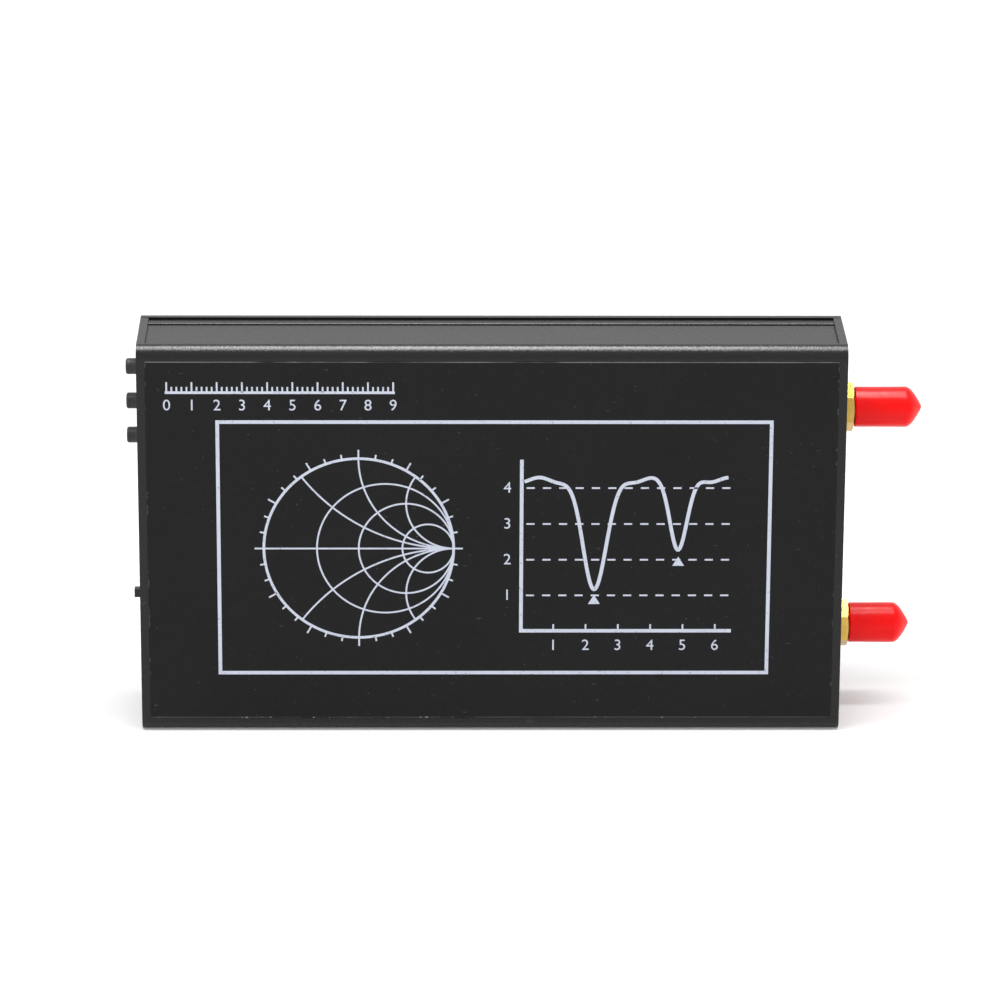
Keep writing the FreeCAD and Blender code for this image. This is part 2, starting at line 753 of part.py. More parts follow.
def battery():
    """The pouch cell, its two tape strips, and the lead to its plug and socket."""
    body = new_body("battery_cell")
    drawing = sketch(body, "YZ_Plane", BATTERY_START)
    low = "boss_inset + boss_radius + battery_edge_gap"
    high = f"case_height - ({low})"
    corners = [(BATTERY_BACK, low), (BATTERY_FRONT, low), (BATTERY_FRONT, high), (BATTERY_BACK, high)]
    outline(drawing, [(*c, "battery_radius") for c in corners])
    pad(body, drawing, f"{BATTERY_END} - {BATTERY_START}")
    part(body, "battery_cell")
    strips = []
    for side in (-1, 1):
        middle = f"{MIDDLE_Z} + ({side}) * tape_inset"
        strips.append(
            box(
                f"tape_{side + 2}",
                (f"{BATTERY_START} + tape_width", f"{BATTERY_END} - tape_width"),
                (BACK_INNER, BATTERY_BACK),
                (f"{middle} - tape_width / 2", f"{middle} + tape_width / 2"),
            )
        )
    part(group("tape_pair", strips), "battery_tape")
    x = f"({BATTERY_END} + lead_out)"
    sides = (f"{x} - plug_side / 2", f"{x} + plug_side / 2")
    z = (f"{MIDDLE_Z} - plug_width / 2", f"{MIDDLE_Z} + plug_width / 2")
    part(box("plug_block", sides, (PLUG_BACK, f"{PLUG_BACK} + plug_tall"), z), "battery_plug")
    part(box("socket_block", sides, (f"{PLUG_BACK} + plug_tall", BOARD_BACK), z), "battery_socket")


def battery_lead():
    """Two wires from the cell: a straight run, a tangent quarter bend and a run into the plug."""
    middle_y = f"({BATTERY_BACK} + battery_thick / 2)"
    start_x, turn_x, end_y = value(BATTERY_END), value(f"{BATTERY_END} + lead_out"), value(PLUG_BACK)
    y, bend, radius = value(middle_y), value("lead_bend"), value("lead_radius")
    wires = []
    for side in (-1, 1):
        z = value(MIDDLE_Z) + side * value("lead_pitch") / 2
        first = Part.LineSegment(V(start_x, y, z), V(turn_x - bend, y, z)).toShape()
        half = bend * math.sqrt(0.5)
        middle = V(turn_x - bend + half, y + bend - half, z)
        arc = Part.Arc(V(turn_x - bend, y, z), middle, V(turn_x, y + bend, z)).toShape()
        last = Part.LineSegment(V(turn_x, y + bend, z), V(turn_x, end_y, z)).toShape()
        ring = Part.Wire(Part.Circle(V(start_x, y, z), V(1, 0, 0), radius).toShape())
        wires.append(Part.Wire([first, arc, last]).makePipeShell([ring], True, False))
    lead = doc.addObject("Part::Feature", "battery_lead")
    lead.Shape = Part.makeCompound(wires)
    lead.Placement = FreeCAD.Placement(V(0, 0, 0), FreeCAD.Rotation())
    part(lead, "battery_lead")


def button(number):
    """A cap that stands out of the end plate, the plunger it pushes, and the switch behind."""
    z = button_z(number)
    face = "(plate_thick + slip)"
    profile = [
        ("-button_rise", "0"),
        ("-button_rise", "button_radius"),
        (face, "button_radius"),
        (face, "button_flange_radius"),
        (f"{face} + button_flange_thick", "button_flange_radius"),
        (f"{face} + button_flange_thick", "0"),
    ]
    cap = turned(f"button_cap_{number}", profile, "-case_length / 2", SWITCH_Y, z)
    round_rims(cap, [("-button_rise", "button_radius")], "button_rim")
    part(cap, f"button_cap_{number}")
    plunger = rod(f"plunger_{number}", PLUNGER_TIP, "plunger_length", SWITCH_Y, z, "plunger_radius")
    part(plunger, f"button_plunger_{number}")
    end = f"{HOUSING_X} + housing_length"
    sides = (f"{z} - housing_side / 2", f"{z} + housing_side / 2")
    block = box(f"housing_block_{number}", (HOUSING_X, end), (f"{SWITCH_Y} - switch_depth", BOARD_BACK), sides)
    room = "plunger_length + button_travel"
    bore = rod(f"housing_bore_{number}", PLUNGER_TIP, room, SWITCH_Y, z, "plunger_radius + button_slip")
    part(cut(f"housing_{number}", block, bore), f"button_switch_{number}")


def power_switch():
    """The slider, with its foot held in the switch body's channel."""
    tip = "-case_length / 2 - knob_rise"
    half = "knob_side / 2"
    z = (f"{KNOB_Z} - {half}", f"{KNOB_Z} + {half}")
    y = (f"{SWITCH_Y} - {half}", f"{SWITCH_Y} + {half}")
    body = new_body("power_knob")
    drawing = sketch(body, "YZ_Plane", tip)
    outline(drawing, [(y[0], z[0]), (y[1], z[0]), (y[1], z[1]), (y[0], z[1])])
    pad(body, drawing, f"{BOARD_LEFT} + slider_foot - ({tip})")
    part(body, "power_knob")
    low = f"({KNOB_Z} + knob_travel / 2 - power_body_height / 2)"
    block = box(
        "power_block",
        (BOARD_LEFT, f"{BOARD_LEFT} + power_body_length"),
        (f"{BOARD_BACK} - power_body_tall", BOARD_BACK),
        (low, f"{low} + power_body_height"),
    )
    channel = box(
        "power_channel",
        (f"{BOARD_LEFT} - overrun", f"{BOARD_LEFT} + slider_foot + slider_slip"),
        (f"{y[0]} - slider_slip", f"{y[1]} + slider_slip"),
        (f"{z[0]} - slider_slip", f"{z[1]} + knob_travel + slider_slip"),
    )
    part(cut("power_switch", block, channel), "power_switch_body")


def charge_socket():
    """The oval steel shell of the charging and data socket, with its base and tongue inside."""
    start = "(-case_length / 2 + slip)"
    shell = new_body("usb_shell")
    drawing = sketch(shell, "YZ_Plane", start)
    outline(drawing, slot_corners(USB_Y, USB_Z, "usb_tall", "usb_width", "usb_radius"))
    inner_tall = "(usb_tall - 2 * usb_sheet)"
    inner_wide = "usb_width - 2 * usb_sheet"
    outline(drawing, slot_corners(USB_Y, USB_Z, inner_tall, inner_wide, "usb_radius - usb_sheet"))
    pad(shell, drawing, "usb_length")
    part(shell, "usb_shell")
    end = f"{start} + usb_length"
    base = box(
        "usb_base_block",
        (f"{end} - usb_base", end),
        (f"{USB_Y} - {inner_tall} / 2 + slip", f"{USB_Y} + {inner_tall} / 2 - slip"),
        (f"{USB_Z} - usb_tongue_width / 2", f"{USB_Z} + usb_tongue_width / 2"),
    )
    tongue = box(
        "usb_tongue_block",
        (f"{end} - usb_base - usb_tongue_length", f"{end} - usb_base"),
        (f"{USB_Y} - usb_tongue_thick / 2", f"{USB_Y} + usb_tongue_thick / 2"),
        (f"{USB_Z} - usb_tongue_width / 2", f"{USB_Z} + usb_tongue_width / 2"),
    )
    part(fuse("usb_core", [base, tongue]), "usb_tongue")


def indicator_lamps():
    lamps = []
    for step in (0, 1):
        z = f"({LAMP_Z} + {step} * lamp_pitch)"
        lamps.append(
            box(
                f"lamp_{step}",
                (BOARD_LEFT, f"{BOARD_LEFT} + lamp_side"),
                (f"{SWITCH_Y} - lamp_side / 2", BOARD_BACK),
                (f"{z} - lamp_side / 2", f"{z} + lamp_side / 2"),
            )
        )
    part(group("lamp_pair", lamps), "indicator_lamps")


def port_socket(number):
    """The gilt body: block and prongs at the board's edge, threaded barrel through the plate."""
    y, z = "-board_centre", port_z(number)
    barrel = turned(
        f"port_barrel_{number}",
        [
            ("0", "insulator_radius"),
            ("0", "thread_radius"),
            ("plate_thick + port_length", "thread_radius"),
            ("plate_thick + port_length", "port_mouth_radius"),
            ("plate_thick + port_length - port_mouth_depth", "port_mouth_radius"),
            ("plate_thick + port_length - port_mouth_depth", "insulator_radius"),
        ],
        SHELL_END,
        y,
        z,
    )
    half = "port_block / 2"
    block = box(
        f"port_block_{number}",
        (BOARD_RIGHT, SHELL_END),
        (f"{y} - {half}", f"{y} + {half}"),
        (f"{z} - {half}", f"{z} + {half}"),
    )
    bore = rod(f"port_bore_{number}", f"{BOARD_RIGHT} - overrun", "port_block_thick + 2 * overrun", y, z,
               "insulator_radius")
    shapes = [barrel, cut(f"port_bored_{number}", block, bore)]
    for side in ("-", "+"):
        edge = f"{z} {side} ({half} - port_prong_width / 2)"
        for front in (0, 1):
            low = BOARD_FRONT if front else f"{BOARD_BACK} - port_prong_tall"
            prong = box(
                f"port_prong_{number}",
                (f"{BOARD_RIGHT} - port_prong_length", BOARD_RIGHT),
                (low, f"{low} + port_prong_tall"),
                (f"{edge} - port_prong_width / 2", f"{edge} + port_prong_width / 2"),
            )
            shapes.append(prong)
    part(fuse(f"port_body_{number}", shapes), f"port_{number}_socket")


def port_core(number):
    """The white insulator and the hollow centre contact inside a port."""
    z = port_z(number)
    length = "(port_block_thick + plate_thick + port_length - port_mouth_depth)"
    outer = "insulator_radius - insulator_slip"
    inner = "contact_radius + insulator_slip"
    ring = [("0", inner), ("0", outer), (length, outer), (length, inner)]
    part(turned(f"port_insulator_{number}", ring, BOARD_RIGHT, "-board_centre", z), f"port_{number}_insulator")
    pin = [
        ("slip", "0"),
        ("slip", "contact_radius"),
        (length, "contact_radius"),
        (length, "contact_hole_radius"),
        (f"{length} - contact_hole_depth", "contact_hole_radius"),
        (f"{length} - contact_hole_depth", "0"),
    ]
    part(turned(f"port_contact_{number}", pin, BOARD_RIGHT, "-board_centre", z), f"port_{number}_contact")


def port_fastener(number, turn):
    """The lock washer and the hexagon nut with its corners turned off."""
    z = port_z(number)
    inner = "thread_radius + insulator_slip"
    ring = [("0", inner), ("0", "washer_radius"), ("washer_thick", "washer_radius"), ("washer_thick", inner)]
    part(turned(f"port_washer_{number}", ring, "case_length / 2", "-board_centre", z), f"port_{number}_washer")
    corner = "nut_flats / 2 / cos(30)"
    prism = doc.addObject("Part::Prism", f"nut_prism_{number}")
    prism.Polygon = 6
    prism.setExpression("Circumradius", sized(corner))
    prism.setExpression("Height", sized("nut_thick"))
    prism.Placement = FreeCAD.Placement(V(0, 0, 0), FreeCAD.Rotation(V(0, 1, 0), 90))
    profile = [
        ("0", inner),
        ("0", "nut_flats / 2"),
        ("nut_edge / 2", f"{corner} + nut_edge / 4"),
        ("nut_thick - nut_edge / 2", f"{corner} + nut_edge / 4"),
        ("nut_thick", "nut_flats / 2"),
        ("nut_thick", inner),
    ]
    blank = turned(f"nut_blank_{number}", profile)
    nut = doc.addObject("Part::Common", f"nut_{number}")
    nut.Base, nut.Tool = prism, blank
    nut.Placement = FreeCAD.Placement(V(0, 0, 0), FreeCAD.Rotation(V(1, 0, 0), value(turn)))
    place(nut, NUT_X, "-board_centre", z)
    part(nut, f"port_{number}_nut")


def dust_cap(number, length):
    """A soft cap: sleeve, rounded shoulder, short cone and blunt tip."""
    inner = "thread_radius + cap_bore_slip"
    shoulder = f"({length} - cap_taper_length)"
    neck = f"({length} - cap_nub_length)"
    profile = [
        ("0", inner),
        ("0", "cap_radius"),
        (shoulder, "cap_radius"),
        (neck, "cap_nub_radius"),
        (length, "cap_tip_radius"),
        (length, "0"),
        (f"{length} - cap_end_wall", "0"),
        (f"{length} - cap_end_wall", inner),
    ]
    cap = turned(f"dust_cap_{number}", profile, CAP_X, "-board_centre", port_z(number))
    round_rims(cap, [(length, "cap_tip_radius")], "cap_tip_round")
    round_rims(cap, [(shoulder, "cap_radius")], "cap_shoulder_round")
    round_rims(cap, [("0", "cap_radius")], "cap_rim")
    part(cap, f"dust_cap_{number}")


def build():
    rear_shell()
    front_cover()
    left_end_plate()
    right_end_plate()
    plate_screws("left_plate_screws", -1)
    plate_screws("right_plate_screws", 1)
    back_label()
    display_stack()
    display_flex()
    main_board()
    board_fixings()
    board_parts()
    battery()
    battery_lead()
    for number in (1, 2, 3):
        button(number)
    power_switch()
    charge_socket()
    indicator_lamps()
    for number, turn, length in ((1, "upper_nut_turn", "upper_cap_length"), (2, "lower_nut_turn", "lower_cap_length")):
        port_socket(number)
        port_core(number)
        port_fastener(number, turn)
        dust_cap(number, length)


def write_parts():
    """Tests every object, then writes each sub-part to its own file."""
    doc.recompute()
    for obj in doc.Objects:
        if "Invalid" in obj.State or "Error" in obj.State:
            raise RuntimeError(f"{obj.Name} failed: {obj.State}")
    os.makedirs("parts", exist_ok=True)
    for obj in parts:
        if obj.Shape.isNull() or not obj.Shape.isValid():
            raise RuntimeError(f"{obj.Label} has no valid shape")
    for obj in parts:
        obj.Shape.exportStep(f"parts/{obj.Label}.step")
        print(obj.Label, len(obj.Shape.Solids), round(obj.Shape.Volume, 2))


build()
write_parts()
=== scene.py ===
import json
import math

import bmesh
import bpy
import numpy as np
from mathutils import Matrix, Vector


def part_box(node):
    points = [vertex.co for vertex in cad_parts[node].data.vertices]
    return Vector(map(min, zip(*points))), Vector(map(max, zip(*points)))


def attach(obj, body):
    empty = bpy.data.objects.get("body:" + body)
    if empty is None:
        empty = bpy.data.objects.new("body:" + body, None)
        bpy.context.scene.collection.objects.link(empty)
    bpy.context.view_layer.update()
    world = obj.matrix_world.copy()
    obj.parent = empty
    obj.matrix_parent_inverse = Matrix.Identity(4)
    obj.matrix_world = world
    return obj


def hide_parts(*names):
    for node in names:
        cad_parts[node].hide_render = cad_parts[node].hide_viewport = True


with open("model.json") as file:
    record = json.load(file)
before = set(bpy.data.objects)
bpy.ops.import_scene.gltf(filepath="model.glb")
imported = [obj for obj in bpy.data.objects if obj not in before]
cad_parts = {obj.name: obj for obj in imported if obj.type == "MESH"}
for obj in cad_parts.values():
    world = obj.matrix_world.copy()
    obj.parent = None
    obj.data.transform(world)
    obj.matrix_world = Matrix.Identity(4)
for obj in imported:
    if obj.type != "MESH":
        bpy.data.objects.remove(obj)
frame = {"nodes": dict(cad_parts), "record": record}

MM = 0.001
INK_COLOURS = (0.5, 0.53, 0.63), (0.6, 0.64, 0.74)
INK_THICKNESS = 0.012 * MM
# These three rows are in millimetres, as the printed design is drawn
STROKE_RISE = 0.0008
THIN, MIDDLING, BOLD = 0.32, 0.5, 0.68
FIGURE_HEIGHT = 2.1
SCREEN_HALF_WIDTH = 46.6 * MM
SCREEN_HALF_HEIGHT = 26.0 * MM
CAP_BORE_RADIUS = 3.225 * MM
CAP_NOSE_LENGTH = 3.1 * MM
CAP_WEB = 4.6 * MM
BUTTON_STEM_RADIUS = 1.5 * MM
BUTTON_FACE_INSET = 1.6 * MM
THREAD_CREST_RADIUS = 3.175 * MM
THREAD_PITCH = 25.4 / 36 * MM
THREAD_DEPTH = 0.38 * MM

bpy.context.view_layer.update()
label_low, label_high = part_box("back_label")
wall_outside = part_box("rear_shell")[1].x
case_low, case_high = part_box("left_end_plate")[0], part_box("right_end_plate")[1]


class Value:
    """A socket in a material. Arithmetic on it adds Math nodes."""

    def __init__(self, paint, socket):
        self.paint = paint
        self.socket = socket

    def math(self, operation, *others):
        inputs = dict(enumerate((self, *others)))
        return self.paint.node("ShaderNodeMath", {"operation": operation}, inputs)

    def __add__(self, other):
        return self.math("ADD", other)

    __radd__ = __add__

    def __mul__(self, other):
        return self.math("MULTIPLY", other)

    __rmul__ = __mul__

    def __sub__(self, other):
        return self.math("SUBTRACT", other)

    def __rsub__(self, other):
        return self.paint.node("ShaderNodeMath", {"operation": "SUBTRACT"}, {0: other, 1: self})

    def above(self, edge, soft):
        """0 below edge and 1 above it, turning smoothly over the width soft."""
        settings = {"interpolation_type": "SMOOTHSTEP"}
        inputs = {0: self, 1: edge - soft / 2, 2: edge + soft / 2}
        return self.paint.node("ShaderNodeMapRange", settings, inputs)

    def below(self, edge, soft):
        return 1 - self.above(edge, soft)

    def distance(self, middle):
        return (self - middle).math("ABSOLUTE")


class Paint:
    """The nodes of one material, ending in one Principled shader."""

    def __init__(self, name):
        self.material = bpy.data.materials.new(name)
        self.material.use_nodes = True
        self.tree = self.material.node_tree
        self.tree.nodes.clear()
        self.shader = self.tree.nodes.new("ShaderNodeBsdfPrincipled")
        end = self.tree.nodes.new("ShaderNodeOutputMaterial")
        self.tree.links.new(self.shader.outputs[0], end.inputs[0])
        self.spot = self.node("ShaderNodeTexCoord", output="Object")

    def node(self, kind, settings=None, inputs=None, output=0):
        """Adds a node: its settings first, then the values or links of its sockets."""
        made = self.tree.nodes.new(kind)
        for word, setting in (settings or {}).items():
            setattr(made, word, setting)
        for key, value in (inputs or {}).items():
            self.feed(made.inputs[key], value)
        return Value(self, made.outputs[output])

    def feed(self, socket, value):
        if isinstance(value, Value):
            self.tree.links.new(value.socket, socket)
        else:
            socket.default_value = value

    def along(self, axis):
        return self.node("ShaderNodeSeparateXYZ", None, {0: self.spot}, axis)

    def moved(self, stretch=(1, 1, 1), origin=(0, 0, 0)):
        return self.node("ShaderNodeMapping", None, {0: self.spot, 1: origin, 3: stretch})

    def noise(self, size, detail=2.0, stretch=(1, 1, 1), origin=(0, 0, 0)):
        """Cloudy noise from 0 to 1 whose lumps are about size metres wide."""
        inputs = {"Vector": self.moved(stretch, origin), "Scale": 1 / size, "Detail": detail}
        return self.node("ShaderNodeTexNoise", None, inputs, "Fac")

    def flecks(self, size, reach, origin=(0, 0, 0)):
        """Small round flecks, 1 inside: one in each cell of size metres, reach as a share of it."""
        inputs = {"Vector": self.moved((1, 1, 1), origin), "Scale": 1 / size}
        cell = self.node("ShaderNodeTexVoronoi", None, inputs, "Distance")
        return cell.below(reach, reach * 0.6)

    def mix(self, factor, first, second):
        """Colours are three or four numbers, or a link."""
        settings = {"data_type": "RGBA"}
        inputs = {0: factor, 6: colour(first), 7: colour(second)}
        return self.node("ShaderNodeMix", settings, inputs, 2)

    def finish(self, base, rough, relief=None, depth=0.0, **constants):
        """Feeds the shader; relief is a height from 0 to 1, depth its real depth in metres."""
        self.feed(self.shader.inputs["Base Color"], colour(base))
        self.feed(self.shader.inputs["Roughness"], rough)
        if relief is not None:
            bump = self.node("ShaderNodeBump", None, {"Height": relief, "Distance": depth, "Strength": 1.0})
            self.tree.links.new(bump.socket, self.shader.inputs["Normal"])
        for word, value in constants.items():
            self.shader.inputs[word.replace("_", " ")].default_value = value
        return self.material


def colour(value):
    if isinstance(value, tuple) and len(value) == 3:
        return (*value, 1.0)
    return value


def anodised(name, dark, light, grain_depth=0.00004):
    """Black anodised aluminium: blasted grain, faint draw lines along X, and pale rub marks."""
    paint = Paint(name)
    grain = paint.noise(0.0005, 2.0)
    cloud = paint.noise(0.02, 3.0)
    lines = paint.noise(0.0006, 2.0, (0.03, 1, 1))
    rub = paint.noise(0.0035, 4.0).above(0.68, 0.08) * grain.above(0.55, 0.1)
    tone = paint.mix(cloud * 0.6 + grain * 0.4, dark, light)
    base = paint.mix(rub * 0.2, tone, (0.1, 0.1, 0.105))
    rough = 0.19 + 0.14 * grain + 0.06 * cloud
    relief = grain * 0.85 + lines * 0.15
    return paint.finish(base, rough, relief, grain_depth, Specular_IOR_Level=0.3)


def label_film():
    """Matt black film with lint, tiny pits, a painted highlight along the top edge and scuffs along the
    lower edge.
    """
    paint = Paint("label_film")
    x, z = paint.along(0), paint.along(2)
    cloud = paint.noise(0.03, 3.0)
    fine = paint.noise(0.0005, 2.0)
    mottle = paint.noise(0.0011, 2.0, origin=(5, 2, 7))
    tone = cloud * 0.45 + mottle * 0.3 + fine * 0.25
    base = paint.mix(tone, (0.0015, 0.0015, 0.002), (0.0125, 0.0125, 0.0135))
    lint = paint.noise(0.00045, 1.0, origin=(1, 1, 4)).above(0.79, 0.03)
    hairs = paint.noise(0.0006, 1.0, (0.25, 1, 1), (2, 1, 1)).above(0.8, 0.03)
    base = paint.mix(lint * 0.28 + hairs * 0.1, base, (0.25, 0.25, 0.26))
    # Painted highlight: a pale broken line along the top edge, where the edge catches light from above
    top_edge = z.above(label_high.z - 0.16 * MM, 0.1 * MM)
    top_edge_highlight = top_edge * paint.noise(0.004, 3.0, (0.4, 1, 1)).above(0.42, 0.3)
    low = z.below(label_low.z + 0.2 * MM, 0.18 * MM) * paint.noise(0.0009, 4.0).above(0.66, 0.08)
    rub = z.below(label_low.z + 0.2 * MM, 0.16 * MM) * paint.noise(0.012, 3.0).above(0.42, 0.3)
    end_edges = x.distance(0.0).above(label_high.x - 0.15 * MM, 0.1 * MM)
    side = end_edges * paint.noise(0.0012, 3.0).above(0.62, 0.1)
    # The grey of the painted highlight along the top edge
    base = paint.mix(top_edge_highlight * 0.75, base, (0.2, 0.2, 0.2))
    base = paint.mix(rub * 0.3, base, (0.16, 0.16, 0.155))
    base = paint.mix(low * 0.8, base, (0.42, 0.4, 0.36))
    base = paint.mix(side * 0.3, base, (0.2, 0.2, 0.2))
    rough = 0.44 + 0.12 * fine + 0.1 * cloud
    return paint.finish(base, rough, fine, 0.000006, Specular_IOR_Level=0.16)


def white_print():
    """Screen-printed pale ink: a little uneven, with pinholes."""
    paint = Paint("white_print")
    worn = paint.noise(0.0005, 3.0)
    patch = paint.noise(0.006, 2.0)
    ink = paint.mix(patch, *INK_COLOURS)
    base = paint.mix(worn.above(0.66, 0.1) * 0.6, ink, (0.2, 0.21, 0.25))
    return paint.finish(base, 0.5 + 0.1 * worn, worn, 0.000004, Specular_IOR_Level=0.2)


def screen_glass():
    """The touch panel: printed black border, and the display's area a shade lighter behind the gloss."""
    paint = Paint("screen_glass")
    x, z = paint.along(0), paint.along(2)
    middle = (label_low.z + label_high.z) / 2
    across = x.distance(0.0).below(SCREEN_HALF_WIDTH, 0.05 * MM)
    lit = across * z.distance(middle).below(SCREEN_HALF_HEIGHT, 0.05 * MM)
    smear = paint.noise(0.018, 4.0, (1, 1, 0.6)).above(0.52, 0.3)
    tint = paint.mix(paint.noise(0.03, 2.0), (0.011, 0.014, 0.02), (0.02, 0.023, 0.03))
    base = paint.mix(lit, (0.002, 0.002, 0.0025), tint)
    rough = 0.04 + 0.16 * smear + 0.03 * paint.noise(0.0008)
    return paint.finish(base, rough, paint.noise(0.012), 0.00001, Specular_IOR_Level=0.35)


def red_vinyl():
    """Soft dipped vinyl: saturated red, slightly uneven skin with a wet gloss."""
    paint = Paint("red_vinyl")
    cloud = paint.noise(0.004, 3.0)
    skin = paint.noise(0.0012, 2.0)
    base = paint.mix(cloud, (0.88, 0.0, 0.0), (0.98, 0.0, 0.001))
    rough = 0.24 + 0.1 * cloud
    return paint.finish(base, rough, cloud * 0.7 + skin * 0.3, 0.00008, Specular_IOR_Level=0.2)


def metal(name, dark, light, rough, grain=0.0004, depth=0.00001, stretch=(1, 1, 1)):
    """Bare or plated metal: fine tool lines, cloudy tarnish and varied gloss."""
    paint = Paint(name)
    lines = paint.noise(grain, 3.0, stretch)
    tarnish = paint.noise(0.003, 4.0)
    base = paint.mix(tarnish, dark, light)
    gloss = rough + 0.18 * lines + 0.1 * tarnish
    return paint.finish(base, gloss, lines, depth, Metallic=1.0)


def moulded(name, dark, light, rough, grain=0.0003, depth=0.00001, **constants):
    """Moulded or cast stuff: two close tones, fine grain and scattered dust."""
    paint = Paint(name)
    fine = paint.noise(grain, 3.0)
    cloud = paint.noise(0.005, 3.0)
    tone = paint.mix(cloud * 0.7 + fine * 0.3, dark, light)
    base = paint.mix(paint.flecks(0.0012, 0.08) * 0.2, tone, (0.4, 0.4, 0.4))
    return paint.finish(base, rough + 0.15 * fine, fine, depth, **constants)


def circuit_board():
    """Green solder mask with a pattern of tracks seen through it."""
    paint = Paint("circuit_board")
    cell = paint.node("ShaderNodeTexVoronoi", {"distance": "CHEBYCHEV", "feature": "F1"},
                      {"Vector": paint.spot, "Scale": 1 / 0.0022}, "Distance")
    tracks = (cell * 9.0).math("FRACT").above(0.5, 0.15)
    base = paint.mix(tracks, (0.006, 0.05, 0.028), (0.014, 0.095, 0.05))
    return paint.finish(base, 0.28 + 0.12 * paint.noise(0.0006), tracks, 0.00003)


def wire_sheath():
    """One red wire and one black, told apart by height."""
    paint = Paint("wire_sheath")
    low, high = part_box("battery_lead")
    upper = paint.along(2).above((low.z + high.z) / 2, 0.05 * MM)
    base = paint.mix(upper, (0.02, 0.02, 0.02), (0.6, 0.02, 0.015))
    return paint.finish(base, 0.4 + 0.1 * paint.noise(0.001), paint.noise(0.0005), 0.00001)


MATERIALS = {
    "case_black": anodised("case_black", (0.0035, 0.0035, 0.0036), (0.008, 0.008, 0.0078)),
    "label_film": label_film(),
    "screen_glass": screen_glass(),
    "display_metal": metal("display_metal", (0.5, 0.5, 0.52), (0.62, 0.63, 0.65), 0.3),
    "foam_black": moulded("foam_black", (0.015, 0.015, 0.015), (0.035, 0.035, 0.036), 0.85,
                          0.0005, 0.0001),
    "ribbon": moulded("ribbon", (0.5, 0.22, 0.04), (0.62, 0.3, 0.07), 0.3),
    "connector_plastic": moulded("connector_plastic", (0.7, 0.66, 0.56), (0.8, 0.77, 0.68), 0.45),
    "board_green": circuit_board(),
    "steel": metal("steel", (0.5, 0.5, 0.5), (0.66, 0.66, 0.67), 0.26),
    "screw_black": metal("screw_black", (0.02, 0.02, 0.021), (0.05, 0.05, 0.052), 0.34),
    "chip_black": moulded("chip_black", (0.014, 0.014, 0.015), (0.03, 0.03, 0.031), 0.5),
    "battery_foil": metal("battery_foil", (0.6, 0.61, 0.62), (0.74, 0.74, 0.75), 0.32,
                          0.0012, 0.00005),
    "wire_red_black": wire_sheath(),
    "button_black": moulded("button_black", (0.016, 0.016, 0.017), (0.032, 0.032, 0.033), 0.34,
                            Specular_IOR_Level=0.3),
    "switch_black": moulded("switch_black", (0.02, 0.02, 0.02), (0.04, 0.04, 0.041), 0.5),
    "lamp_clear": moulded("lamp_clear", (0.7, 0.72, 0.68), (0.85, 0.86, 0.82), 0.15),
    "gold_plate": metal("gold_plate", (0.42, 0.26, 0.05), (0.72, 0.48, 0.13), 0.1,
                        0.0002, 0.000012, (8, 1, 1)),
    "insulator_white": moulded("insulator_white", (0.8, 0.8, 0.77), (0.9, 0.9, 0.88), 0.4),
    "cap_red": red_vinyl(),
}


def dress_nodes():
    """Each node of the frame gets the material of its slot, on the object's own slots."""
    for row in frame["record"]["subparts"]:
        node = frame["nodes"][row["node"]]
        if not node.material_slots:
            node.data.materials.append(None)
        for slot in node.material_slots:
            slot.link = "OBJECT"
            slot.material = MATERIALS[row["material_slot"]]


def add_piece(name, mesh, slot, body, replaced=(), material=None, smooth=True):
    """Links a mesh as a piece that rides a body and may stand for nodes of the frame."""
    piece = bpy.data.objects.new(name, mesh)
    bpy.context.scene.collection.objects.link(piece)
    mesh.materials.append(material or MATERIALS[slot])
    mesh.polygons.foreach_set("use_smooth", [smooth] * len(mesh.polygons))
    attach(piece, body)
    if replaced:
        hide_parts(*replaced)
    return piece


def rounded_line(points, segments=6):
    """A polyline through (x, r, round) points, with each corner turned into a tangent arc.

    The arc starts round * tan(half the turn) before the corner, and its points are
    centre + round * (cos, sin), taken at even steps of the angle."""
    out = []
    for i, point in enumerate(points):
        here = np.array(point[:2], float)
        radius = point[2] if len(point) > 2 else 0.0
        if radius <= 0 or i in (0, len(points) - 1):
            out.append(here)
            continue
        back = np.array(points[i - 1][:2]) - here
        ahead = np.array(points[i + 1][:2]) - here
        back /= np.linalg.norm(back)
        ahead /= np.linalg.norm(ahead)
        half = math.acos(float(np.clip(back @ ahead, -1, 1))) / 2
        reach = radius / math.tan(half)
        bisector = (back + ahead) / np.linalg.norm(back + ahead)
        centre = here + bisector * radius / math.sin(half)
        start, end = here + back * reach - centre, here + ahead * reach - centre
        first = math.atan2(start[1], start[0])
        turn = (math.atan2(end[1], end[0]) - first + math.pi) % (2 * math.pi) - math.pi
        angles = first + turn * np.linspace(0, 1, segments + 1)
        out.extend(centre + radius * np.stack([np.cos(angles), np.sin(angles)], 1))
    return np.array(out)


def turned_mesh(name, along, radius, y, z, steps=64):
    """A surface turned about an X-wise axis through y, z.

    Row i is the ring x = along[i], (y, z) + radius * (cos t, sin t); radius may be one number
    a row or a whole array of rows by steps. First and last rows of no radius close as poles.
    Otherwise the last row joins the first."""
    radius = np.asarray(radius, float)
    rows = len(along)
    if radius.ndim == 1:
        radius = np.repeat(radius[:, None], steps, 1)
    angle = np.arange(steps) * 2 * np.pi / steps
    x = np.repeat(np.asarray(along, float)[:, None], steps, 1)
    grid = np.stack([x, y + radius * np.cos(angle), z + radius * np.sin(angle)], 2)
    index = np.arange(rows * steps).reshape(rows, steps)
    poled = radius[0].max() < 1e-9 and radius[-1].max() < 1e-9
    following = np.roll(index, -1, 0)
    count = rows - 1 if poled else rows
    ring, up = index[:count], following[:count]
    faces = np.stack([ring, np.roll(ring, -1, 1), np.roll(up, -1, 1), up], 2).reshape(-1, 4)
    mesh = bpy.data.meshes.new(name)
    mesh.from_pydata(grid.reshape(-1, 3).tolist(), [], faces.tolist())
    return tidy_mesh(mesh)


